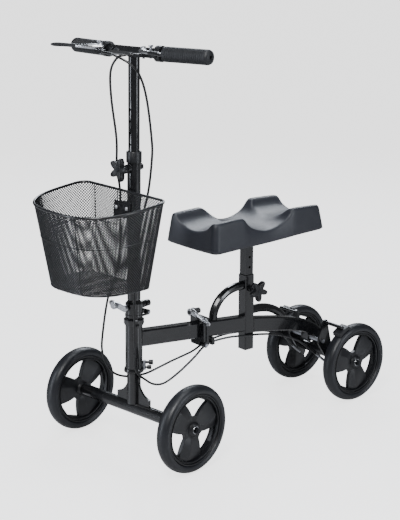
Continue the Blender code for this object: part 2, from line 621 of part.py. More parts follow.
def column():
    sleeve("outer_column", COLUMN_R, COLUMN_IN, COLUMN_BOTTOM, COLUMN_TOP, steering, "black_paint")
    lip = [(0.0131, 0.5935), (0.0165, 0.5935), (0.0173, 0.5920), (0.0173, 0.5700), (0.0153, 0.5700), (0.0153, 0.5853),
           (0.0131, 0.5853)]
    turned("column_collar", lip, steering, "black_plastic", ring=True)
    knob_axis = empty("column_knob_axis", steering, (0, -COLUMN_R, COLUMN_KNOB_Z), (math.pi / 2, 0, 0))
    clamp_knob("column_knob", knob_axis)
    rod("column_nut", 0.0080, (0, COLUMN_R - 0.0013, COLUMN_KNOB_Z), (0, COLUMN_R + 0.0075, COLUMN_KNOB_Z), steering,
        "black_plastic", 6)
    inner = sleeve("inner_column", INNER_R, INNER_IN, INNER_BOTTOM, BAR_Z - BAR_R - GAP, steering, "black_paint")
    along = Matrix.Rotation(math.pi / 2, 4, "X")
    holes = [Matrix.Translation((0, -0.0120, 0.685 - 0.02533 * k)) @ along for k in range(10)]
    cut(inner, cylinder_mesh("column_holes_cutter", 0.0032, 0.008, holes, 10), steering)


# ---------------------------------------------------------------- basket
def basket_loop(level, count=30, grow=0.0):
    """D-shaped loop at a level from 0, the base, to 1, the rim."""
    scale = BASKET_TAPER + (1 - BASKET_TAPER) * level
    back = -0.0425 + 0.0155 * level
    points = []
    front = count * 2 // 3
    for i in range(front + 1):
        turn = math.pi * i / front
        power = 2 / 3.4
        x = math.copysign(abs(math.cos(turn)) ** power, math.cos(turn)) * (BASKET_HALF_W * scale + grow)
        y = back - abs(math.sin(turn)) ** power * (BASKET_DEPTH * scale + grow)
        points.append((x, y))
    half = BASKET_HALF_W * scale + grow
    for i in range(1, count - front):
        k = i / (count - front)
        points.append((-half + 2 * half * k, back + grow))
    lift = BASKET_BASE_Z + (BASKET_RIM_Z - BASKET_BASE_Z) * level
    return [(x, y, lift + level * (0.10 * (y - back) - 0.035 * x)) for x, y in points]


def basket():
    mesh = bpy.data.meshes.new("basket")
    bm = bmesh.new()
    rings = [[bm.verts.new(p) for p in basket_loop(level)] for level in (0.0, 0.5, 1.0)]
    count = len(rings[0])
    for low, high in zip(rings, rings[1:]):
        for i in range(count):
            j = (i + 1) % count
            bm.faces.new((low[i], low[j], high[j], high[i]))
    bm.faces.new(rings[0])
    bmesh.ops.recalc_face_normals(bm, faces=bm.faces)
    bm.to_mesh(mesh)
    bm.free()
    shell = place("basket", mesh, steering, "basket")
    thick = shell.modifiers.new("wall", "SOLIDIFY")
    thick.thickness, thick.offset = 0.0025, -1.0
    rim = [(x, y, z + 0.0008) for x, y, z in basket_loop(1.0)]
    rim_mesh = solid_mesh("basket_rim", round_curve("basket_rim", rim, 0.0026, 1, True))
    place("basket_rim", rim_mesh, steering, "basket")
    height = 0.4690
    lean = math.atan2(0.0155, BASKET_RIM_Z - BASKET_BASE_Z)
    back = -0.0425 + 0.0155 * (height - BASKET_BASE_Z) / (BASKET_RIM_Z - BASKET_BASE_Z)
    box("basket_bracket", (0.052, 0.0025, 0.036), (0, 0, 0), steering, "black_paint", 0.0,
        (0, back - 0.0046, height), (-lean, 0, 0))
    for side_name, side in SIDES:
        rod("basket_bolt_" + side_name, 0.0042, (side * 0.016, back - 0.0064, height + 0.004),
            (side * 0.016, back - 0.0098, height + 0.004), steering, "silver", 10)
    hanger = [(-0.0150, back + 0.0022), (0.0150, back + 0.0022), (0.0150, -0.0156), (-0.0150, -0.0156)]
    plate("basket_hanger", [hanger], 0.0300, steering, "black_paint", (0, 0, height))


# ---------------------------------------------------------------- handlebar and levers
def bar_point(x):
    """Centre of the handlebar at a distance from the middle."""
    bend = max(abs(x) - BAR_BEND_X, 0.0)
    ease = 0.012
    swept = math.tan(BAR_SWEEP) * (math.sqrt(bend * bend + ease * ease) - ease)
    return (x, BAR_Y + swept, BAR_Z)


def handlebar():
    stations = [BAR_END_X * i / 8 for i in range(-8, 9)]
    tube("handlebar", [bar_point(x) for x in stations], BAR_R, steering, "black_paint", 3)
    for side_name, side in SIDES:
        outward = Vector((side * math.cos(BAR_SWEEP), math.sin(BAR_SWEEP), 0))
        turn = outward.to_track_quat("Z", "Y").to_euler()
        tip = Vector(bar_point(side * BAR_END_X))
        end, skin = GRIP_LEN, GRIP_R
        profile = [(0, 0.0040), (skin * 0.55, 0.0040), (skin * 0.9, 0.0010), (skin, -0.0040), (skin, 0.0070 - end),
                   (skin * 0.9, -end + 0.003), (BAR_R + 0.0005, -end + 0.003), (BAR_R + 0.0005, 0.0006), (0, 0.0006)]
        turned("grip_" + side_name, profile, steering, "grip", tip, turn, 20)
        brake_lever(side_name, side, outward)


def ribbon(points):
    """Outline round a line of (x, y, half width) points."""
    left, right = [], []
    for i, (x, y, half) in enumerate(points):
        ahead = points[min(i + 1, len(points) - 1)]
        behind = points[max(i - 1, 0)]
        run = Vector((ahead[0] - behind[0], ahead[1] - behind[1])).normalized() * half
        left.append((x - run.y, y + run.x))
        right.append((x + run.y, y - run.x))
    return right + left[::-1]


def brake_lever(side_name, side, outward):
    clamp_x = 0.081
    centre = bar_point(side * clamp_x)
    turn = outward.to_track_quat("Z", "Y").to_euler()
    ring = [(BAR_R + 0.0008, 0.007), (0.0172, 0.007), (0.0172, -0.007), (BAR_R + 0.0008, -0.007)]
    turned("lever_clamp_" + side_name, ring, steering, "black_plastic", centre, turn, 20, ring=True)
    deck, hole = 0.8065, 0.0034
    bracket = [(0.0880, -0.0150), (0.0740, -0.0155), (0.0620, -0.0250), (0.0500, -0.0400), (0.0480, -0.0500),
               (0.0560, -0.0540), (0.0700, -0.0460), (0.0860, -0.0360), (0.0900, -0.0260)]
    eyes = [arc(*LEVER_PIVOT, hole, 0, 330, 12), arc(*LOCK_PIN, 0.0030, 0, 315, 8)]
    loops = [mirror_x(bracket, side)] + [mirror_x(e, side)[::-1] for e in eyes]
    plate("lever_bracket_" + side_name, loops, 0.0070, steering, "black_plastic", (0, 0, deck))
    pivot = empty("lever_axis_" + side_name, steering, (side * LEVER_PIVOT[0], LEVER_PIVOT[1], deck + 0.0100))
    root = [(-0.0090, -0.0010, 0.0060), (0.0000, -0.0040, 0.0088), (0.0120, -0.0130, 0.0085), (0.0260, -0.0220, 0.0066),
            (0.0450, -0.0280, 0.0055)]
    plate("brake_lever_" + side_name, [mirror_x(ribbon(root), side)], 0.0120, pivot, "silver")
    blade = [(0.0430, -0.0275, 0.0052), (0.0640, -0.0340, 0.0052), (0.0820, -0.0420, 0.0056), (0.0960, -0.0500, 0.0060),
             (0.1010, -0.0530, 0.0030)]
    plate("lever_sleeve_" + side_name, [mirror_x(ribbon(blade), side)], 0.0100, pivot, "black_plastic",
          (0, 0, 0.0006), bevel=0.001)
    bolt = [(0, 0.0085), (0.0055, 0.0085), (0.0055, 0.0050), (0.0030, 0.0045), (0.0030, -0.0180), (0, -0.0180)]
    turned("lever_pivot_" + side_name, bolt, pivot, "zinc", steps=12)
    pin = [(0, 0.0220), (0.0050, 0.0220), (0.0050, 0.0180), (0.0026, 0.0175), (0.0026, -0.0060), (0, -0.0060)]
    turned("lock_pin_" + side_name, pin, steering, "silver", (side * LOCK_PIN[0], LOCK_PIN[1], deck), steps=12)
    run = Vector((-side * 0.8, -0.55, 0.05)).normalized()
    start = Vector((side * 0.0500, -0.0490, deck)) - run * 0.0020
    adjuster = [(0, 0.0150), (0.0032, 0.0150), (0.0046, 0.0120), (0.0046, 0.0060), (0.0030, 0.0055), (0.0030, 0.0), (0, 0.0)]
    turned("cable_adjuster_" + side_name, adjuster, steering, "silver", start,
           run.to_track_quat("Z", "Y").to_euler(), 12)


# ---------------------------------------------------------------- rear brakes and cables
def rear_brakes():
    lug = [(-0.0110, 0.0170), (-0.0080, -0.0050), (-0.0040, -0.0085), (0.0040, -0.0085), (0.0080, -0.0050),
           (0.0110, 0.0110)]
    shaft_hole = arc(0, 0, 0.0053, 0, 330, 12)
    axis = empty("brake_axis", ground, (0, BRAKE_PIVOT_Y, BRAKE_PIVOT_Z))
    plate("brake_lug", [lug, shaft_hole[::-1]], 0.0240, axis, "black_paint", rot=SIDE_ON)
    rod("brake_shaft", 0.0050, (-0.0590, 0, 0), (0.0590, 0, 0), axis, "zinc")
    radius = WHEEL_R + 0.0150
    shoe_y = WHEELBASE + radius * math.cos(SHOE_ANGLE) - BRAKE_PIVOT_Y
    shoe_z = WHEEL_R + radius * math.sin(SHOE_ANGLE) - BRAKE_PIVOT_Z
    for side_name, side in SIDES:
        tip = (0.0370, -0.0640)
        arm = (arc(tip[0], tip[1], 0.0085, 215, 390, 6) + arc(shoe_y, shoe_z, 0.0075, -20, 160, 6)
               + [(-0.0115, 0.0100), (-0.0125, -0.0060)])
        eye = arc(0, 0, 0.0054, 0, 330, 12)
        plate("brake_arm_" + side_name, [arm, eye[::-1]], 0.0050, axis, "black_paint", (side * 0.0520, 0, 0), SIDE_ON)
        rod("brake_shoe_rod_" + side_name, 0.0045, (side * 0.0510, shoe_y, shoe_z), (side * 0.1120, shoe_y, shoe_z),
            axis, "zinc")
        inner, outer = WHEEL_R + 0.0012, WHEEL_R + 0.0098
        degrees = math.degrees(SHOE_ANGLE)
        low = arc(WHEELBASE - BRAKE_PIVOT_Y, WHEEL_R - BRAKE_PIVOT_Z, inner, degrees - 11, degrees + 11, 7)
        high = arc(WHEELBASE - BRAKE_PIVOT_Y, WHEEL_R - BRAKE_PIVOT_Z, outer, degrees + 9, degrees - 9, 7)
        plate("brake_shoe_" + side_name, [(low + high)[::-1]], 0.0260, axis, "black_plastic",
              (side * REAR_TRACK / 2, 0, 0), SIDE_ON)


CABLE_R = 0.0025


def steered(point):
    """A point given in the steered frame, in the ground frame."""
    x, y, z = point
    turned_point = Matrix.Rotation(-RAKE, 3, "X") @ Matrix.Rotation(STEER, 3, "Z") @ Vector((x, y, z))
    return turned_point + Vector((0, 0, WHEEL_R))


def cables():
    """Brake cables, each from its lever to the brake arm on the other side."""
    from_right = [(-0.0372, -0.0578, 0.8073), (-0.0240, -0.0640, 0.8080), (0.0080, -0.0640, 0.8040),
                  (0.0400, -0.0470, 0.7860), (0.0560, -0.0360, 0.7620), (0.0700, -0.0300, 0.7140),
                  (0.0770, -0.0220, 0.6290), (0.0735, -0.0180, 0.5860), (0.0600, -0.0150, 0.5150),
                  (0.0380, -0.0150, 0.4400), (0.0260, -0.0150, 0.3700), (0.0230, -0.0185, 0.3000),
                  (0.0240, -0.0220, 0.2300), (0.0240, -0.0200, 0.1500), (0.0240, -0.0170, 0.1000)]
    from_left = [(0.0372, -0.0578, 0.8073), (0.0220, -0.0700, 0.8000), (0.0040, -0.0720, 0.7700),
                 (-0.0110, -0.0560, 0.7100), (-0.0150, -0.0380, 0.6240), (-0.0300, -0.0230, 0.5600),
                 (-0.0220, -0.0210, 0.5050), (-0.0205, -0.0215, 0.4500), (-0.0185, -0.0230, 0.3900),
                 (-0.0270, -0.0270, 0.3240), (-0.0460, -0.0370, 0.2580), (-0.0590, -0.0420, 0.1700),
                 (-0.0600, -0.0420, 0.1300), (-0.0520, -0.0350, 0.0980), (-0.0420, -0.0190, 0.0760),
                 (-0.0290, 0.0080, 0.0660)]
    loop = [(0.0260, 0.0150, 0.1710), (0.0200, 0.0460, 0.1510), (0.0150, 0.0800, 0.1460), (0.0140, 0.1230, 0.1620),
            (0.0110, 0.1700, 0.1860), (0.0070, 0.2000, 0.2030), (0.0064, 0.2280, 0.2110), (0.0120, 0.2800, 0.2130),
            (0.0180, 0.3280, 0.2080), (0.0190, 0.3700, 0.2030), (0.0190, 0.4300, 0.1890), (0.0280, 0.4900, 0.1640),
            (0.0440, 0.5450, 0.1180), (0.0440, 0.5710, 0.0970)]
    lower = [(-0.0100, 0.0320, 0.1700), (-0.0010, 0.0520, 0.1760), (-0.0010, 0.1100, 0.1870), (-0.0020, 0.1700, 0.1960),
             (-0.0060, 0.2000, 0.2030), (-0.0064, 0.2280, 0.2110), (-0.0120, 0.2800, 0.2130), (-0.0180, 0.3280, 0.2080),
             (-0.0190, 0.3700, 0.2030), (-0.0190, 0.4300, 0.1890), (-0.0280, 0.4900, 0.1640),
             (-0.0440, 0.5450, 0.1180), (-0.0440, 0.5710, 0.0970)]
    route_right = [steered(p) for p in from_right] + [Vector(p) for p in loop]
    route_left = [steered(p) for p in from_left] + [Vector(p) for p in lower]
    tube("brake_cable_right", smooth_route(route_right, 60), CABLE_R, ground, "cable")
    tube("brake_cable_left", smooth_route(route_left, 60), CABLE_R, ground, "cable")
    holes = [arc(x, 0, CABLE_R + 0.0018, 20, 340, 9)[::-1] for x in (-0.0064, 0.0064)]
    body = [(-0.0125, -0.0060), (0.0125, -0.0060), (0.0125, 0.0125), (-0.0125, 0.0125)]
    plate("cable_clip", [body] + holes, 0.0080, ground, "black_plastic", (0, 0.2280, 0.2113), (math.pi / 2 + 0.14, 0, 0))


front_frame()
frame_hinge()
rear_frame()
seat_knob_axis = empty("seat_knob_axis", ground, (SLEEVE_W / 2, SEAT_Y, 0.3240), (0, math.pi / 2, 0))
clamp_knob("seat_knob", seat_knob_axis)
seat()
knee_pad()
wheels()
fork()
rear_axle()
fold_joint()
fold_lock()
column()
basket()
handlebar()
rear_brakes()
cables()

weld("front_beam", "front_hinge_flange", "front_hinge_knuckle", "latch_lug")
weld("mid_beam", "rear_hinge_flange", "rear_hinge_knuckle_left", "rear_hinge_knuckle_right")
weld("latch_lever", "latch_cap")
weld("tail_beam", "brake_lug")
weld("seat_sleeve", "seat_knob_boss")
weld("seat_plate", "seat_post_cap")
weld("fork", "front_axle_tube", "fork_gusset_left", "fork_gusset_right")
weld("fold_base", "fold_ear_left", "fold_ear_right")
weld("fold_head", "fold_knuckle")
weld("fold_lever", "fold_lever_cap")
weld("outer_column", "column_knob_boss", "column_nut")
weld("basket", "basket_rim")
for knob in ("seat_knob", "column_knob"):
    weld(knob, knob + "_bolt")
for side_name, _ in SIDES:
    weld("front_wheel_" + side_name, "front_wheel_" + side_name + "_hub")
    weld("rear_wheel_" + side_name, "rear_wheel_" + side_name + "_hub")
    weld("lever_bracket_" + side_name, "lever_clamp_" + side_name, "cable_adjuster_" + side_name)
    weld("brake_lever_" + side_name, "lever_sleeve_" + side_name, "lever_pivot_" + side_name)
    weld("brake_arm_" + side_name, "brake_shoe_rod_" + side_name)
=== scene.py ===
"""Looks for the knee scooter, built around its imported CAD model."""
import math

import bmesh
import bpy
from mathutils import Matrix, Vector


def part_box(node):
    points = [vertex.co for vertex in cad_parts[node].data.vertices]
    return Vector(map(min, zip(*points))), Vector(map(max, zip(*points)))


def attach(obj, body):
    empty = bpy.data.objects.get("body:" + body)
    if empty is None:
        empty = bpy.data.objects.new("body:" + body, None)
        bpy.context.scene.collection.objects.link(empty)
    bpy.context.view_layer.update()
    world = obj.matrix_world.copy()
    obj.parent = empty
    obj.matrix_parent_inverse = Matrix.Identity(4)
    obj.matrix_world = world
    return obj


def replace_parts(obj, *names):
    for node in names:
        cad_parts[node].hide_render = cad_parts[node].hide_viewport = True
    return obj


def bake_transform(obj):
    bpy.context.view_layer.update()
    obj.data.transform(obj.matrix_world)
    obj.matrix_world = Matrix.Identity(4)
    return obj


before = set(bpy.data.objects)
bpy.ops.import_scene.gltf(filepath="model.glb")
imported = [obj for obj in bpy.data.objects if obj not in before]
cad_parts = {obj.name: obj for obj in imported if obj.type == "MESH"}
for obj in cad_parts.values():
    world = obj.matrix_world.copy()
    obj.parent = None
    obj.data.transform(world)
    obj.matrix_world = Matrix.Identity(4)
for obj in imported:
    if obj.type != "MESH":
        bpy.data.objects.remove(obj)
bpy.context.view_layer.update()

FRONT_AXLE_Y = -0.2464
STEER, RAKE = math.radians(7.2), math.radians(1.0)
STEERED = (Matrix.Translation((0, FRONT_AXLE_Y, 0.1)) @ Matrix.Rotation(-RAKE, 4, "X")
           @ Matrix.Rotation(STEER, 4, "Z"))
REAR_AXLE = Matrix.Translation((0, FRONT_AXLE_Y + 0.616, 0.1))
TURN_Y = Matrix.Rotation(math.pi / 2, 4, "Y")
SIDES = (("left", 1), ("right", -1))


# ------------------------------------------------------------------ materials
def material(name, colour, rough, metal=0.0, coat=0.0, grain=400.0, bump=0.02, spread=0.25, rough_spread=0.08,
             weave=0.0, sheen=0.0, coat_rough=0.08, edge_wear_and_highlight=0.0):
    """A procedural surface: colour mottling, uneven gloss, fine grain and optional lighter edges, part paint wear and
    part painted edge highlight.
    """
    mat = bpy.data.materials.new(name)
    mat.use_nodes = True
    nodes, links = mat.node_tree.nodes, mat.node_tree.links
    shader = nodes["Principled BSDF"]
    shader.inputs["Metallic"].default_value = metal
    shader.inputs["Coat Weight"].default_value = coat
    shader.inputs["Coat Roughness"].default_value = coat_rough
    shader.inputs["Sheen Weight"].default_value = sheen
    coords = nodes.new("ShaderNodeTexCoord")
    cloud = nodes.new("ShaderNodeTexNoise")
    cloud.inputs["Scale"].default_value = 14.0
    cloud.inputs["Detail"].default_value = 5.0
    links.new(coords.outputs["Object"], cloud.inputs["Vector"])
    ramp = nodes.new("ShaderNodeValToRGB")
    ramp.color_ramp.elements[0].position, ramp.color_ramp.elements[1].position = 0.3, 0.7
    ramp.color_ramp.elements[0].color = (*[c * (1 - spread) for c in colour], 1)
    ramp.color_ramp.elements[1].color = (*[min(c * (1 + spread), 1) for c in colour], 1)
    links.new(cloud.outputs["Fac"], ramp.inputs["Fac"])
    colour_out = ramp.outputs["Color"]
    # Convex edges are lightened in the base colour: partly worn paint, partly a painted highlight where light catches
    # the edges.
    if edge_wear_and_highlight:
        geometry = nodes.new("ShaderNodeNewGeometry")
        edge = nodes.new("ShaderNodeMapRange")
        edge.inputs["From Min"].default_value, edge.inputs["From Max"].default_value = 0.53, 0.62
        edge.inputs["To Max"].default_value = edge_wear_and_highlight
        links.new(geometry.outputs["Pointiness"], edge.inputs["Value"])
        mix = nodes.new("ShaderNodeMix")
        mix.data_type = "RGBA"
        links.new(edge.outputs["Result"], mix.inputs["Factor"])
        links.new(colour_out, mix.inputs["A"])
        mix.inputs["B"].default_value = (*[min(c * 3 + 0.03, 1) for c in colour], 1)
        colour_out = mix.outputs["Result"]
    links.new(colour_out, shader.inputs["Base Color"])
    scuff = nodes.new("ShaderNodeTexNoise")
    scuff.inputs["Scale"].default_value, scuff.inputs["Detail"].default_value = 60.0, 6.0
    links.new(coords.outputs["Object"], scuff.inputs["Vector"])
    gloss = nodes.new("ShaderNodeMapRange")
    gloss.inputs["To Min"].default_value = max(rough - rough_spread, 0.02)
    gloss.inputs["To Max"].default_value = rough + rough_spread
    links.new(scuff.outputs["Fac"], gloss.inputs["Value"])
    links.new(gloss.outputs["Result"], shader.inputs["Roughness"])
    fine = nodes.new("ShaderNodeTexVoronoi" if weave else "ShaderNodeTexNoise")
    fine.inputs["Scale"].default_value = weave or grain
    links.new(coords.outputs["Object"], fine.inputs["Vector"])
    relief = nodes.new("ShaderNodeBump")
    relief.inputs["Strength"].default_value, relief.inputs["Distance"].default_value = bump, 0.0006
    links.new(fine.outputs["Distance" if weave else "Fac"], relief.inputs["Height"])
    links.new(relief.outputs["Normal"], shader.inputs["Normal"])
    return mat


M = {
    # The edge values below lighten convex edges: part paint wear, part painted edge highlight.
    "black_paint": material("black_paint", (0.0035, 0.0038, 0.0048), 0.24, coat=0.6, grain=900, bump=0.05, edge_wear_and_highlight=0.10),
    "black_plastic": material("black_plastic", (0.0055, 0.0060, 0.0075), 0.40, grain=1400, bump=0.18, edge_wear_and_highlight=0.12),
    "wheel_plastic": material("wheel_plastic", (0.0055, 0.0060, 0.0078), 0.38, grain=1200, bump=0.10, edge_wear_and_highlight=0.15),
    "tyre": material("tyre", (0.0100, 0.0112, 0.0145), 0.40, grain=700, bump=0.12, spread=0.35),
    "grip": material("grip", (0.0095, 0.0105, 0.0130), 0.50, grain=1500, bump=0.22),
    "pad": material("pad", (0.0175, 0.0195, 0.0270), 0.40, weave=950, bump=0.22, spread=0.12, sheen=0.05),
    "silver": material("silver", (0.58, 0.59, 0.61), 0.28, metal=1.0, grain=1100, bump=0.12, spread=0.08),
    "zinc": material("zinc", (0.46, 0.47, 0.50), 0.34, metal=1.0, grain=900, bump=0.10, spread=0.18),
    "dark_steel": material("dark_steel", (0.045, 0.047, 0.052), 0.32, metal=0.9, grain=900, bump=0.10),
    "cable": material("cable", (0.0045, 0.0048, 0.0058), 0.30, coat=0.2, grain=1000, bump=0.06),
    "basket": material("basket", (0.0050, 0.0055, 0.0068), 0.30, coat=0.3, grain=1200, bump=0.10, edge_wear_and_highlight=0.2),
    "white_bolt": material("white_bolt", (0.72, 0.73, 0.75), 0.25, metal=0.7, grain=900, bump=0.05, spread=0.06),
}


# ------------------------------------------------------------------ mesh helpers
def add(name, bm, body, mat, angle=35.0, subdivide=0):
    """Make a shown piece from a bmesh in the row frame, riding on a CAD body."""
    bmesh.ops.recalc_face_normals(bm, faces=bm.faces)
    mesh = bpy.data.meshes.new(name)
    bm.to_mesh(mesh)
    bm.free()
    mesh.shade_smooth()
    mesh.set_sharp_from_angle(angle=math.radians(angle))
    mesh.materials.append(M[mat])
    obj = bpy.data.objects.new(name, mesh)
    bpy.context.scene.collection.objects.link(obj)
    if subdivide:
        mod = obj.modifiers.new("smooth", "SUBSURF")
        mod.levels = mod.render_levels = subdivide
    if body:
        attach(obj, body)
    return obj


def loft(bm, rings, loop=False):
    """Skin a list of equal rings of points."""
    verts = [[bm.verts.new(p) for p in ring] for ring in rings]
    count = len(verts[0])
    pairs = list(zip(verts, verts[1:])) + ([(verts[-1], verts[0])] if loop else [])
    for low, high in pairs:
        for i in range(count):
            j = (i + 1) % count
            bm.faces.new((low[i], low[j], high[j], high[i]))
    if not loop:
        bm.faces.new(list(reversed(verts[0])))
        bm.faces.new(verts[-1])


def lathe(bm, profile, matrix, sides=48, loop=False):
    """Turn (radius, height) points about the matrix's Z."""
    rings = []
    for i in range(sides):
        c, s = math.cos(2 * math.pi * i / sides), math.sin(2 * math.pi * i / sides)
        rings.append([matrix @ Vector((r * c, r * s, h)) for r, h in profile])
    verts = [[bm.verts.new(p) for p in ring] for ring in rings]
    last = len(profile) if loop else len(profile) - 1
    for a, b in zip(verts, verts[1:] + verts[:1]):
        for i in range(last):
            j = (i + 1) % len(profile)
            bm.faces.new((a[i], b[i], b[j], a[j]))
    bmesh.ops.remove_doubles(bm, verts=bm.verts, dist=0.000005)


def tube(bm, route, radius, sides=12, flat=1.0, radii=None, thin=(0, 0, 1)):
    """Sweep a circle, or an ellipse flattened along one direction, down a route."""
    rings, normal = [], None
    for i, here in enumerate(route):
        run = (route[min(i + 1, len(route) - 1)] - route[max(i - 1, 0)]).normalized()
        if normal is None:
            normal = run.orthogonal() if flat == 1.0 else Vector(thin)
        normal = (normal - run * normal.dot(run)).normalized()
        other = run.cross(normal)
        size = radii[i] if radii else radius
        rings.append([here + normal * math.cos(a) * size * flat + other * math.sin(a) * size
                      for a in (2 * math.pi * k / sides for k in range(sides))])
    loft(bm, rings)


def bar(bm, start, end, radius, sides=16):
    tube(bm, [Vector(start), Vector(end)], radius, sides)


def smooth_route(points, count):
    """Even points on a Catmull-Rom curve through the given ones."""
    pts = [Vector(p) for p in points]
    pts = [pts[0] * 2 - pts[1]] + pts + [pts[-1] * 2 - pts[-2]]
    fine = []
    for a, b, c, d in zip(pts, pts[1:], pts[2:], pts[3:]):
        for i in range(24):
            t = i / 24
            fine.append(0.5 * (2 * b + (c - a) * t + (2 * a - 5 * b + 4 * c - d) * t * t
                               + (3 * b - a - 3 * c + d) * t ** 3))
    fine.append(pts[-2])
    runs = [0.0]
    for a, b in zip(fine, fine[1:]):
        runs.append(runs[-1] + (b - a).length)
    even, j = [], 0
    for i in range(count):
        want = runs[-1] * i / (count - 1)
        while j < len(runs) - 2 and runs[j + 1] < want:
            j += 1
        even.append(fine[j].lerp(fine[j + 1], (want - runs[j]) / (runs[j + 1] - runs[j])))
    return even


def hexagon(bm, matrix, radius, low, high):
    """A chamfered hexagon nut or bolt head."""
    for z0, z1, r0, r1 in ((low, high - 0.0008, radius, radius), (high - 0.0008, high, radius, radius * 0.9)):
        rings = [[matrix @ Vector((r * math.cos(math.pi * k / 3), r * math.sin(math.pi * k / 3), z))
                  for k in range(6)] for z, r in ((z0, r0), (z1, r1))]
        loft(bm, rings)


# ------------------------------------------------------------------ wheels
WEB = 0.0275


def half_opening(r):
    """Half angle of a wheel opening at a radius, and so the spoke's edge."""
    k = min(max((r - WEB) / (0.0722 - WEB), 0), 1)
    return math.radians(13.0 + 19.0 * k ** 0.8)


def wheel_body(bm, spoke_turn, matrix):
    """A plate with three bell-shaped openings, built as matching front and back skins."""
    stations = [0.0095, 0.0165, 0.0225, WEB, 0.0298, 0.034, 0.041, 0.050, 0.060, 0.068, 0.0708, 0.0722]
    cells = 10
    for i in range(3):
        middle = spoke_turn + math.pi / 3 + i * 2 * math.pi / 3
        front, back = [], []
        for r in stations:
            half = math.pi / 3 - (half_opening(r) if WEB < r < 0.0720 else 0)
            depth = 0.0068 if r < 0.02 else 0.0046
            row = [middle + half * (2 * k / cells - 1) for k in range(cells + 1)]
            front.append([bm.verts.new(matrix @ Vector((r * math.cos(a), r * math.sin(a), depth))) for a in row])
            back.append([bm.verts.new(matrix @ Vector((r * math.cos(a), r * math.sin(a), -depth))) for a in row])
        for a, b in zip(range(len(stations) - 1), range(1, len(stations))):
            for k in range(cells):
                bm.faces.new((front[a][k], front[a][k + 1], front[b][k + 1], front[b][k]))
                bm.faces.new((back[a][k], back[b][k], back[b][k + 1], back[a][k + 1]))
            if stations[b] > WEB:
                for k in (0, cells):
                    bm.faces.new((front[a][k], front[b][k], back[b][k], back[a][k]))
        for k in range(cells):
            bm.faces.new((front[0][k], back[0][k], back[0][k + 1], front[0][k + 1]))
            bm.faces.new((front[-1][k], front[-1][k + 1], back[-1][k + 1], back[-1][k]))
    bmesh.ops.remove_doubles(bm, verts=bm.verts, dist=0.00002)
    rim = [(0.0722, 0.0046), (0.0730, 0.0118), (0.0742, 0.0122), (0.0752, 0.0098), (0.0772, 0.0098), (0.0784, 0.0134),
           (0.0808, 0.0134), (0.0812, 0.0120)]
    ring = rim + [(r, -z) for r, z in reversed(rim)]
    lathe(bm, ring, matrix, 72, loop=True)
    boss = [(0.0090, 0.0128), (0.0122, 0.0128), (0.0150, 0.0108), (0.0172, 0.0080), (0.0172, -0.0080),
            (0.0150, -0.0108), (0.0122, -0.0128), (0.0090, -0.0128)]
    lathe(bm, boss, matrix, 40, loop=True)


def spoke_panels(bm, spoke_turn, matrix):
    """A folded two-plane panel on both faces of every spoke."""
    for i in range(3):
        middle = spoke_turn + math.pi / 3 + i * 2 * math.pi / 3
        for flip in (1, -1):
            rings = []
            for r in (0.0150, 0.022, 0.029, 0.038, 0.048, 0.058, 0.066, 0.0716):
                half = (math.pi / 3 - half_opening(max(r, WEB + 0.0008))) * 0.93
                rise = 0.0068 * min((r - 0.0100) / 0.030, 1.0) * min((0.0790 - r) / 0.016, 1.0)
                left, right, fold = middle + half, middle - half, middle - half * 0.36
                spots = [(left, 0.0030), (left, 0.0048), (fold + 0.06, 0.0050 + rise), (fold, 0.0049 + rise),
                         (right, 0.0047), (right, 0.0030)]
                ring = [matrix @ Vector((r * math.cos(a), r * math.sin(a), z * flip)) for a, z in spots]
                rings.append(ring if flip > 0 else ring[::-1])
            loft(bm, rings)


TREAD = [(0.0814, 0.0100), (0.0824, 0.0146), (0.0846, 0.0162), (0.0876, 0.0169), (0.0908, 0.0166), (0.0938, 0.0152),
         (0.0963, 0.0126), (0.0982, 0.0092), (0.0994, 0.0052), (0.0999, 0.0018)]


def wheels():
    spokes = {"front": (171, 201), "rear": (192, 176)}
    for end, place, width in (("front", STEERED, 0.183), ("rear", REAR_AXLE, 0.104)):
        for index, (side_name, side) in enumerate(SIDES):
            name = f"{end}_wheel_{side_name}"
            matrix = place @ Matrix.Translation((side * width, 0, 0)) @ TURN_Y
            turn = math.radians(spokes[end][index])
            bm = bmesh.new()
            wheel_body(bm, turn, matrix)
            rim = add(name + "_rim", bm, name, "wheel_plastic", 32)
            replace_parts(rim, name)
            bm = bmesh.new()
            spoke_panels(bm, turn, matrix)
            add(name + "_panels", bm, name, "wheel_plastic", 8)
            bm = bmesh.new()
            lathe(bm, TREAD + [(r, -z) for r, z in reversed(TREAD)], matrix, 96, loop=True)
            tyre = add(name + "_tread", bm, name, "tyre", 50)
            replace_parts(tyre, name + "_tyre")
            bm = bmesh.new()
            for flip in (1, -1):
                ring = [(0.0060, 0.0120 * flip), (0.0060, 0.0134 * flip), (0.0086, 0.0134 * flip), (0.0094, 0.0120 * flip)]
                lathe(bm, ring, matrix, 32, loop=True)
            add(name + "_bearing_rings", bm, name, "silver", 30)
    for name, body, place, width in (("front_axle", "steering", STEERED, 0.183),
                                     ("rear_axle", "rear_frame", REAR_AXLE, 0.104)):
        bm = bmesh.new()
        bar(bm, place @ Vector((-width - 0.0215, 0, 0)), place @ Vector((width + 0.0215, 0, 0)), 0.0040)
        for _, side in SIDES:
            matrix = place @ Matrix.Translation((side * width, 0, 0)) @ Matrix.Rotation(side * math.pi / 2, 4, "Y")
            lathe(bm, [(0.0041, 0.0136), (0.0076, 0.0136), (0.0076, 0.0146), (0.0041, 0.0146)], matrix, 24, loop=True)
            hexagon(bm, matrix, 0.0066, 0.0147, 0.0200)
        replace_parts(add(name + "_bolts", bm, body, "dark_steel", 30), name)


# ------------------------------------------------------------------ knee pad
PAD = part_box("knee_pad")


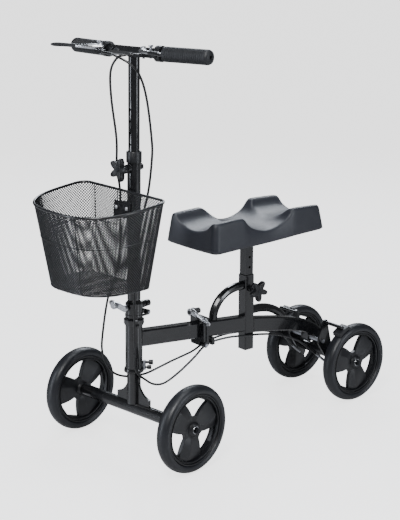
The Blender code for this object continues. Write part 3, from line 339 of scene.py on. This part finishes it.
def knee_pad():
    """Moulded foam pad: four mounds, a lengthwise leg channel and a deep cross channel."""
    low, high = PAD
    x0, x1, y0, y1 = low[0], high[0], low[1], high[1]
    half_w, half_l = (x1 - x0) / 2 + 0.0035, (y1 - y0) / 2 + 0.0035
    mid_y, top = (y0 + y1) / 2, high[2] + 0.0015
    inset, corner, edge = 0.0075, 0.014, 0.0085
    nx, ny = 56, 100

    def spaced(i, n, size):
        t = 2 * i / n - 1
        return size * (0.66 * t + 0.34 * math.sin(t * math.pi / 2))

    def plan(x, y, w, l):
        ax, ay = w - corner, l - corner
        dx, dy = max(abs(x) - ax, 0), max(abs(y) - ay, 0)
        if dx > 0 and dy > 0:
            reach, most = math.hypot(dx, dy), max(dx, dy)
            x = math.copysign(ax + dx * most / reach, x)
            y = math.copysign(ay + dy * most / reach, y)
        return x, y

    def scoop(t):
        t = min(abs(t), 1.25)
        round_bowl = max(1 - (t * 0.96) ** 2, 0) ** 0.80
        lip = 1 / (1 + math.exp((t - 0.93) * 16))
        return round_bowl * lip

    def height(x, y):
        channel = 0.028 * scoop(x / (half_w * 0.74))
        dip = 0.0395 * scoop(((y + half_l) / (2 * half_l) - 0.495) / 0.225)
        crown = 0.0045 * (abs(y) / half_l) ** 3
        return top - min((channel ** 6 + dip ** 6) ** (1 / 6), 0.0405) - crown

    bm = bmesh.new()
    w, l = half_w - inset, half_l - inset
    grid = []
    for j in range(ny + 1):
        row = []
        for i in range(nx + 1):
            x, y = plan(spaced(i, nx, w), spaced(j, ny, l), w, l)
            gap = min(w - abs(spaced(i, nx, w)), l - abs(spaced(j, ny, l)))
            z = height(x, y)
            if gap < edge:
                z -= edge * (1 - math.sqrt(max(1 - (1 - gap / edge) ** 2, 0)))
            row.append(bm.verts.new((x, mid_y + y, z)))
        grid.append(row)
    for j in range(ny):
        for i in range(nx):
            bm.faces.new((grid[j][i], grid[j][i + 1], grid[j + 1][i + 1], grid[j + 1][i]))
    loop = ([grid[0][i] for i in range(nx)] + [grid[j][nx] for j in range(ny)]
            + [grid[ny][i] for i in range(nx, 0, -1)] + [grid[j][0] for j in range(ny, 0, -1)])
    above = loop
    for share, grow in ((0.30, 0.30), (0.70, 0.72), (0.95, 0.96), (1.0, 0.93)):
        ring = []
        for vert in loop:
            x, y = vert.co.x, vert.co.y - mid_y
            floor = low[2] + 0.0004 + 0.012 * (y + half_l) / (2 * half_l)
            z = vert.co.z + (floor - vert.co.z) * share
            ring.append(bm.verts.new((x * (1 + grow * inset / w), mid_y + y * (1 + grow * inset / l), z)))
        for k in range(len(loop)):
            n = (k + 1) % len(loop)
            bm.faces.new((above[k], ring[k], ring[n], above[n]))
        above = ring
    bm.faces.new(above)
    pad = add("knee_cushion", bm, "seat", "pad", 60, subdivide=1)
    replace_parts(pad, "knee_pad")
    plate_low, plate_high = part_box("seat_plate")
    bm = bmesh.new()
    for x in (-0.036, 0.036):
        for y in (plate_low[1] + 0.03, plate_high[1] - 0.03):
            z = plate_low[2] + 0.0075 + 0.035 * (y - plate_low[1])
            lathe(bm, [(0, z - 0.0035), (0.0035, z - 0.0033), (0.0055, z - 0.0015), (0.0058, z + 0.0035), (0, z + 0.0035)],
                  Matrix.Translation((x, y, 0)), 20)
    add("pad_screws", bm, "seat", "zinc", 30)


# ------------------------------------------------------------------ basket
RIM_Z, BASE_Z, HALF_W, DEPTH, TAPER = 0.509, 0.314, 0.134, 0.200, 0.77


def basket_point(level, around, grow=0.0):
    """A point of the D-shaped wall: around runs 0 to 1, level 0 at the base to 1 at the rim."""
    scale = TAPER + (1 - TAPER) * level
    back = -0.0425 + 0.0155 * level
    half, depth = HALF_W * scale - 0.0012 + grow, DEPTH * scale - 0.0012 + grow
    x, y = basket_shape(around)
    lift = BASE_Z + (RIM_Z - BASE_Z) * level
    px, py = x * half, back - 0.0012 - y * depth + (grow if y < 0.02 else 0.0)
    return STEERED @ Vector((px, py, lift + level * (0.10 * (py - back) - 0.035 * px)))


def make_shape():
    """Unit D outline with rounded rear corners, sampled evenly by length."""
    power = 2 / 3.0
    pts = []
    for i in range(241):
        a = math.pi * i / 240
        pts.append((math.copysign(abs(math.cos(a)) ** power, math.cos(a)), 0.13 + 0.87 * abs(math.sin(a)) ** power))
    for i in range(1, 25):
        a = math.pi / 2 * i / 24
        pts.append((-1 + 0.17 * (1 - math.cos(a)), 0.13 * (1 - math.sin(a))))
    pts += [(-0.83 + 1.66 * i / 60, 0.0) for i in range(1, 61)]
    for i in range(1, 25):
        a = math.pi / 2 * i / 24
        pts.append((0.83 + 0.17 * math.sin(a), 0.13 * (1 - math.cos(a))))
    runs = [0.0]
    for (ax, ay), (bx, by) in zip(pts, pts[1:]):
        runs.append(runs[-1] + math.hypot((bx - ax) * 0.66, by - ay))
    return pts, runs


OUTLINE, RUNS = make_shape()


def basket_shape(around):
    want = (around % 1.0) * RUNS[-1]
    low, high = 0, len(RUNS) - 1
    while high - low > 1:
        middle = (low + high) // 2
        if RUNS[middle] <= want:
            low = middle
        else:
            high = middle
    share = (want - RUNS[low]) / max(RUNS[high] - RUNS[low], 1e-9)
    (ax, ay), (bx, by) = OUTLINE[low], OUTLINE[high]
    return ax + (bx - ax) * share, ay + (by - ay) * share


def inside_base(x, y):
    """Whether a point of the base, as shares of its half width and depth, is inside the D."""
    if not 0 <= y <= 1 or abs(x) > 1:
        return False
    if y < 0.13:
        return abs(x) <= 0.83 or ((abs(x) - 0.83) / 0.17) ** 2 + ((0.13 - y) / 0.13) ** 2 <= 1
    return abs(x) ** 3.0 + ((y - 0.13) / 0.87) ** 3.0 <= 1


def base_line(bm, through, along, radius, drop=0.0):
    """A straight wire across the base, cut where it meets the wall."""
    wide, deep, back = HALF_W * TAPER - 0.002, DEPTH * TAPER - 0.002, -0.0445
    hits = []
    for k in range(-320, 321):
        x, y = through[0] + along[0] * k * 0.0008, through[1] + along[1] * k * 0.0008
        if inside_base(x / wide, y / deep):
            hits.append((x, y))
    if len(hits) > 4:
        ends = [STEERED @ Vector((x, back - y, BASE_Z + 0.0008 - drop)) for x, y in (hits[0], hits[-1])]
        bar(bm, *ends, radius, 6)


def basket():
    around, up = 236, 62
    bm = bmesh.new()
    verts = {}

    def vert(i, j):
        key = (i % around, j)
        if key not in verts:
            verts[key] = bm.verts.new(basket_point(j / up, key[0] / around))
        return verts[key]

    for j in range(0, up + 1):
        for i in range(around):
            if (i + j) % 2 == 0:
                continue
            corners = [(i - 1, j), (i, j + 1), (i + 1, j), (i, j - 1)]
            bm.faces.new([vert(*c) for c in corners if 0 <= c[1] <= up])
    net = add("basket_net", bm, "column", "basket", 180)
    wires = net.modifiers.new("wires", "WIREFRAME")
    wires.thickness, wires.use_even_offset, wires.use_boundary = 0.0029, False, True
    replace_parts(net, "basket")
    bm = bmesh.new()
    for level, radius, grow in ((1.0, 0.0030, 0.0006), (0.60, 0.0014, 0.0009), (0.0, 0.0018, 0.0)):
        route = [basket_point(level, k / 180, grow) + Vector((0, 0, 0.0006)) for k in range(180)]
        rings = []
        for k, here in enumerate(route):
            run = (route[(k + 1) % 180] - route[k - 1]).normalized()
            side = Vector((0, 0, 1)).cross(run).normalized()
            rings.append([here + side * math.cos(a) * radius + Vector((0, 0, 1)) * math.sin(a) * radius
                          for a in (2 * math.pi * q / 10 for q in range(10))])
        loft(bm, rings, loop=True)
    for spot in (0.02, 0.25, 0.50, 0.70, 0.79, 0.88):
        tube(bm, [basket_point(k / 6, spot, 0.0008) for k in range(7)], 0.0011, 8)
    add("basket_wires", bm, "column", "basket", 60)
    bm = bmesh.new()
    step, slope = 0.0062, math.radians(48)
    for turn in (slope, math.pi - slope):
        along = (math.cos(turn), math.sin(turn))
        for k in range(-28, 29):
            shift = k * step
            base_line(bm, (-along[1] * shift, 0.077 + along[0] * shift), along, 0.00075)
    for x in (-0.045, -0.030, 0.000, 0.015, 0.048):
        base_line(bm, (x, 0.07), (0, 1), 0.0019, 0.0014)
    add("basket_floor", bm, "column", "basket", 60)


# ------------------------------------------------------------------ controls
def grips():
    for side_name, side in SIDES:
        sweep = math.radians(8.8)
        outward = Vector((side * math.cos(sweep), math.sin(sweep), 0))
        tip = Vector((side * 0.204, -0.004 + math.tan(sweep) * (math.hypot(0.1465, 0.012) - 0.012), 0.809))
        matrix = STEERED @ Matrix.Translation(tip) @ outward.to_track_quat("Z", "Y").to_matrix().to_4x4()
        profile = [(0.0040, 0.0016), (0.0044, 0.0040), (0.0100, 0.0040), (0.0142, 0.0020), (0.0162, -0.0022), (0.0163, -0.0060)]
        z = -0.0090
        while z > -0.1040:
            profile += [(0.0162, z), (0.0155, z - 0.0005), (0.0155, z - 0.0013), (0.0162, z - 0.0018)]
            z -= 0.0046
        profile += [(0.0163, -0.1100), (0.0160, -0.1120), (0.0138, -0.1126), (0.0114, -0.1128)]
        bm = bmesh.new()
        lathe(bm, profile, matrix, 40)
        grip = add("ribbed_grip_" + side_name, bm, "handlebar", "grip", 40)
        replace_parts(grip, "grip_" + side_name)


def star_knob(name, body, matrix, node):
    """Five-lobed clamp knob with a domed face and a bolt boss."""
    bm = bmesh.new()
    lobes, count = 5, 100

    def ring(scale, z, lift=1.0):
        points = []
        for k in range(count):
            a = 2 * math.pi * k / count
            wave = (0.5 + 0.5 * math.cos(lobes * a)) ** 0.85
            r = (0.0128 + (0.0268 - 0.0128) * wave) * scale
            points.append(matrix @ Vector((r * math.cos(a), r * math.sin(a), z + 0.0016 * wave * lift)))
        return points

    rings = [ring(0.50, 0.0222, 0.0), ring(0.88, 0.0224), ring(0.97, 0.0240), ring(1.0, 0.0268), ring(1.0, 0.0310),
             ring(0.96, 0.0338), ring(0.84, 0.0352), ring(0.50, 0.0354, 0.3), ring(0.20, 0.0352, 0.0)]
    loft(bm, rings)
    lathe(bm, [(0, 0.0250), (0.0092, 0.0250), (0.0088, 0.0170), (0.0066, 0.0100), (0.0062, 0.0080), (0, 0.0080)], matrix, 32)
    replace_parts(add(name, bm, body, "black_plastic", 40), node)
    bm = bmesh.new()
    hexagon(bm, matrix, 0.0052, 0.0346, 0.0364)
    bar(bm, matrix @ Vector((0, 0, 0.0006)), matrix @ Vector((0, 0, 0.0082)), 0.0038)
    add(name + "_screw", bm, body, "dark_steel", 30)


def brake_levers():
    for side_name, side in SIDES:
        body = "brake_lever_" + side_name
        matrix = STEERED @ Matrix.Translation((side * 0.066, -0.036, 0.8165))

        def route(points, count):
            return [matrix @ p for p in smooth_route([(side * x, y, z) for x, y, z in points], count)]

        root = [(-0.0090, -0.0010, 0), (0.0000, -0.0040, 0), (0.0120, -0.0130, 0), (0.0260, -0.0220, 0), (0.0460, -0.0283, 0)]
        blade = [(0.0440, -0.0278, 0), (0.0640, -0.0340, 0.0006), (0.0820, -0.0420, 0.0010), (0.0950, -0.0500, 0.0010),
                 (0.1005, -0.0538, 0.0010)]
        bm = bmesh.new()
        sizes = [0.0040, 0.0064, 0.0078, 0.0082, 0.0080, 0.0074, 0.0067, 0.0060, 0.0056, 0.0053, 0.0050]
        tube(bm, route(root, 11), 0.006, 16, 0.72, sizes)
        lathe(bm, [(0, 0.0066), (0.0052, 0.0066), (0.0060, 0.0058), (0.0060, -0.0058), (0, -0.0058)], matrix, 28)
        lever = add("lever_root_" + side_name, bm, body, "silver", 45)
        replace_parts(lever, body)
        bm = bmesh.new()
        sizes = [0.0042, 0.0058, 0.0060, 0.0059, 0.0059, 0.0060, 0.0061, 0.0063, 0.0064, 0.0062, 0.0054, 0.0030]
        tube(bm, route(blade, 12), 0.006, 20, 0.70, sizes)
        add("lever_blade_" + side_name, bm, body, "black_plastic", 60)
        bm = bmesh.new()
        hexagon(bm, matrix, 0.0046, 0.0066, 0.0090)
        bar(bm, matrix @ Vector((0, 0, -0.0168)), matrix @ Vector((0, 0, -0.0060)), 0.0027)
        add("lever_bolt_" + side_name, bm, body, "zinc", 30)


# ------------------------------------------------------------------ cables
def row(point):
    return Vector(point) + Vector((0, FRONT_AXLE_Y, 0))


def cables():
    """Each brake cable swept in five stretches, split where the scooter folds, steers and slides."""
    from_right = [(-0.0372, -0.0578, 0.8073), (-0.0240, -0.0640, 0.8080), (0.0080, -0.0640, 0.8040),
                  (0.0400, -0.0470, 0.7860), (0.0560, -0.0360, 0.7620), (0.0700, -0.0300, 0.7140),
                  (0.0770, -0.0220, 0.6290), (0.0735, -0.0180, 0.5860), (0.0600, -0.0150, 0.5150),
                  (0.0380, -0.0150, 0.4400), (0.0260, -0.0150, 0.3700), (0.0230, -0.0185, 0.3000),
                  (0.0240, -0.0220, 0.2300), (0.0240, -0.0200, 0.1500), (0.0240, -0.0170, 0.1000)]
    from_left = [(0.0372, -0.0578, 0.8073), (0.0220, -0.0700, 0.8000), (0.0040, -0.0720, 0.7700),
                 (-0.0110, -0.0560, 0.7100), (-0.0150, -0.0380, 0.6240), (-0.0300, -0.0230, 0.5600),
                 (-0.0220, -0.0210, 0.5050), (-0.0205, -0.0215, 0.4500), (-0.0185, -0.0230, 0.3900),
                 (-0.0270, -0.0270, 0.3240), (-0.0460, -0.0370, 0.2580), (-0.0590, -0.0420, 0.1700),
                 (-0.0600, -0.0420, 0.1300), (-0.0520, -0.0350, 0.0980), (-0.0420, -0.0190, 0.0760),
                 (-0.0290, 0.0080, 0.0660)]
    loop = [(0.0260, 0.0150, 0.1710), (0.0200, 0.0460, 0.1510), (0.0150, 0.0800, 0.1460), (0.0140, 0.1230, 0.1620),
            (0.0110, 0.1700, 0.1860), (0.0070, 0.2000, 0.2030), (0.0064, 0.2280, 0.2110), (0.0120, 0.2800, 0.2130),
            (0.0180, 0.3280, 0.2080), (0.0190, 0.3700, 0.2030), (0.0190, 0.4300, 0.1890), (0.0280, 0.4900, 0.1640),
            (0.0440, 0.5450, 0.1180), (0.0440, 0.5710, 0.0970)]
    lower = [(-0.0100, 0.0320, 0.1700), (-0.0010, 0.0520, 0.1760), (-0.0010, 0.1100, 0.1870), (-0.0020, 0.1700, 0.1960),
             (-0.0060, 0.2000, 0.2030), (-0.0064, 0.2280, 0.2110), (-0.0120, 0.2800, 0.2130), (-0.0180, 0.3280, 0.2080),
             (-0.0190, 0.3700, 0.2030), (-0.0190, 0.4300, 0.1890), (-0.0280, 0.4900, 0.1640),
             (-0.0440, 0.5450, 0.1180), (-0.0440, 0.5710, 0.0970)]
    for side_name, steered, flat in (("right", from_right, loop), ("left", from_left, lower)):
        other = "left" if side_name == "right" else "right"
        route = smooth_route([STEERED @ Vector(p) for p in steered] + [row(p) for p in flat], 420)

        def near(point):
            return min(range(len(route)), key=lambda k: (route[k] - point).length)

        marks = [0, near(STEERED @ Vector(steered[8 if side_name == "right" else 7])),
                 near(STEERED @ Vector(steered[12])), near(row((0, 0.1200, 0.1750))), near(row((0, 0.2900, 0.2120))),
                 len(route) - 1]
        spans = (("handlebar", "column", 0.10, 0.80), ("column", "steering", 0.55, 0.95),
                 ("steering", "front_frame", 0.10, 0.95), ("front_frame", "rear_frame", 0.25, 0.75),
                 ("rear_frame", "brake_arm_" + other, 0.80, 0.97))
        pieces = []
        for k, (first, second, begin, end) in enumerate(spans):
            stretch = route[marks[k]:marks[k + 1] + 1]
            bm = bmesh.new()
            tube(bm, stretch, 0.0026, 12)
            piece = add(f"cable_{side_name}_{k + 1}", bm, None, "cable", 60)
            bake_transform(piece)
            pieces.append(piece)
        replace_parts(pieces[0], "brake_cable_" + side_name)
        bm = bmesh.new()
        tube(bm, route[-12:], 0.0034, 12)
        add(f"cable_ferrule_{side_name}", bm, "brake_arm_" + other, "zinc", 40)


# ------------------------------------------------------------------ small fittings
def fittings():
    hub = row((-0.014, 0.1808, 0.2897))
    path = [(-0.004, 0, 0.001), (0.006, -0.001, 0.0020), (0.018, -0.003, 0.0010), (0.032, -0.003, -0.0040),
            (0.046, -0.001, -0.0100), (0.058, 0, -0.0130), (0.068, 0, -0.0140)]
    bm = bmesh.new()
    sizes = [0.0050, 0.0078, 0.0086, 0.0080, 0.0070, 0.0064, 0.0062, 0.0066, 0.0074, 0.0078, 0.0070, 0.0042]
    tube(bm, smooth_route([hub + Vector(p) for p in path], 12), 0.007, 20, 0.55, sizes, thin=(0, 1, 0))
    across = Matrix.Translation(hub) @ Matrix.Rotation(math.pi / 2, 4, "X")
    lathe(bm, [(0, -0.0040), (0.0086, -0.0040), (0.0090, -0.0030), (0.0090, 0.0044), (0.0082, 0.0054), (0, 0.0056)], across, 32)
    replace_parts(add("latch_handle", bm, "latch_lever", "silver", 45), "latch_lever")
    bm = bmesh.new()
    hexagon(bm, across, 0.0046, 0.0055, 0.0084)
    add("latch_screw", bm, "latch_lever", "dark_steel", 30)
    bm = bmesh.new()
    clip = Vector((0.0130, FRONT_AXLE_Y + 0.0150, 0.2060))
    outward = Vector((0.62, 0.78, 0))
    for z, reach, size in ((0.004, 0.0240, 0.0042), (-0.008, 0.0200, 0.0036)):
        start = clip + Vector((0, 0, z))
        tube(bm, [start, start + outward * reach], size * 0.7, 14)
        tube(bm, [start + outward * (reach - 0.0085), start + outward * (reach + 0.0015)], size * 1.35, 14)
    add("cable_stop_screws", bm, "front_frame", "black_plastic", 40)
    bm = bmesh.new()
    tube(bm, [clip + outward * 0.0050 + Vector((0, 0, -0.0135)), clip + outward * 0.0050 + Vector((0, 0, 0.0085))],
         0.0040, 14)
    add("cable_stop_barrel", bm, "front_frame", "zinc", 40)
    bm = bmesh.new()
    for side in (-1, 1):
        low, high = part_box("basket_bolt_" + ("left" if side > 0 else "right"))
        middle = (Vector(low) + Vector(high)) / 2
        matrix = Matrix.Translation(middle) @ Matrix.Rotation(STEER, 4, "Z") @ Matrix.Rotation(math.pi / 2, 4, "X")
        lathe(bm, [(0, 0.0018), (0.0022, 0.0017), (0.0040, 0.0008), (0.0043, -0.0012), (0, -0.0016)], matrix, 24)
    heads = add("basket_bolt_heads", bm, "column", "white_bolt", 40)
    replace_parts(heads, "basket_bolt_left", "basket_bolt_right")


# ------------------------------------------------------------------ carried-over CAD pieces
CARRIED = {
    "black_plastic": ("latch_bolt", "column_collar", "lever_bracket_left", "lever_bracket_right", "cable_clip",
                      "brake_shoe_left", "brake_shoe_right"),
    "zinc": ("hinge_pin", "brake_shaft", "fold_pin", "lock_pin_left", "lock_pin_right"),
    "silver": ("latch_lever", "fold_lever"),
}


def carry_over():
    kinds = {node: kind for kind, names in CARRIED.items() for node in names}
    for name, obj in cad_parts.items():
        if obj.hide_render:
            continue
        kind = kinds.get(name, "black_paint")
        obj.data.materials.clear()
        obj.data.materials.append(M[kind])
        for polygon in obj.data.polygons:
            polygon.use_smooth = True
        weld = obj.modifiers.new("weld", "WELD")
        weld.merge_threshold = 0.00002
        split = obj.modifiers.new("sharp", "EDGE_SPLIT")
        split.split_angle = math.radians(32)


# ------------------------------------------------------------------ stage
def softbox(name, spot, target, size, power, colour=(1, 1, 1)):
    lamp = bpy.data.lights.new(name, "AREA")
    lamp.shape, lamp.size, lamp.size_y, lamp.energy, lamp.color = "RECTANGLE", size[0], size[1], power, colour
    obj = bpy.data.objects.new(name, lamp)
    obj.location = spot
    obj.rotation_euler = (Vector(target) - Vector(spot)).to_track_quat("-Z", "Y").to_euler()
    bpy.context.scene.collection.objects.link(obj)


def seen_only(tree, socket, seen, otherwise):
    """Drive a strength by whether the camera sees the surface itself, as a studio's flagged lights do."""
    path = tree.nodes.new("ShaderNodeLightPath")
    mix = tree.nodes.new("ShaderNodeMapRange")
    mix.inputs["To Min"].default_value, mix.inputs["To Max"].default_value = otherwise, seen
    tree.links.new(path.outputs["Is Camera Ray"], mix.inputs["Value"])
    tree.links.new(mix.outputs["Result"], socket)


def stage():
    bm = bmesh.new()
    bmesh.ops.create_grid(bm, x_segments=2, y_segments=2, size=14.0,
                          matrix=Matrix.Translation((-6.0, 6.0, -0.0006)))
    mesh = bpy.data.meshes.new("floor")
    bm.to_mesh(mesh)
    bm.free()
    floor = bpy.data.objects.new("floor", mesh)
    mat = bpy.data.materials.new("floor")
    mat.use_nodes = True
    shader = mat.node_tree.nodes["Principled BSDF"]
    shader.inputs["Base Color"].default_value = (0.62, 0.62, 0.63, 1)
    shader.inputs["Roughness"].default_value = 0.16
    shader.inputs["Emission Color"].default_value = (1, 1, 1, 1)
    seen_only(mat.node_tree, shader.inputs["Emission Strength"], 2.1, 0.02)
    mesh.materials.append(mat)
    bpy.context.scene.collection.objects.link(floor)
    world = bpy.data.worlds.new("studio")
    world.use_nodes = True
    back = world.node_tree.nodes["Background"]
    back.inputs["Color"].default_value = (0.95, 0.97, 1.0, 1)
    seen_only(world.node_tree, back.inputs["Strength"], 2.5, 0.12)
    bpy.context.scene.world = world
    softbox("key", (1.2, -1.6, 2.4), (0, 0, 0.4), (0.9, 1.4), 60)
    softbox("side", (2.6, 1.0, 1.3), (0, 0, 0.4), (0.5, 2.2), 34, (0.90, 0.94, 1.0))
    softbox("rim", (-1.8, 1.8, 2.2), (0, 0, 0.4), (1.8, 0.8), 50, (0.88, 0.93, 1.0))
    softbox("strip", (-0.9, -2.4, 1.1), (0, 0, 0.5), (0.3, 2.2), 26, (0.86, 0.91, 1.0))
    softbox("top", (0.0, 0.0, 3.0), (0, 0, 0.4), (1.4, 1.4), 30, (0.92, 0.95, 1.0))


def camera():
    lens = bpy.data.cameras.new("camera")
    lens.sensor_width, lens.lens = 36.0, 86.04
    lens.clip_end = 50
    obj = bpy.data.objects.new("camera", lens)
    right, up = Vector((0.6377, 0.7703, 0)), Vector((-0.1991, 0.1649, 0.9659))
    forward = Vector((-0.744, 0.616, -0.2585))
    basis = Matrix((right, up, -forward)).transposed().to_4x4()
    obj.matrix_world = Matrix.Translation((2.1514, -1.5843 + FRONT_AXLE_Y, 1.1639)) @ basis
    bpy.context.scene.collection.objects.link(obj)
    bpy.context.scene.camera = obj


camera()
stage()
wheels()
knee_pad()
basket()
grips()
star_knob("column_star_knob", "column_knob",
          STEERED @ Matrix.Translation((0, -0.015, 0.558)) @ Matrix.Rotation(math.pi / 2, 4, "X"), "column_knob")
star_knob("seat_star_knob", "seat_knob", Matrix.Translation((0.014, 0.342 + FRONT_AXLE_Y, 0.324)) @ TURN_Y, "seat_knob")
brake_levers()
cables()
fittings()
carry_over()
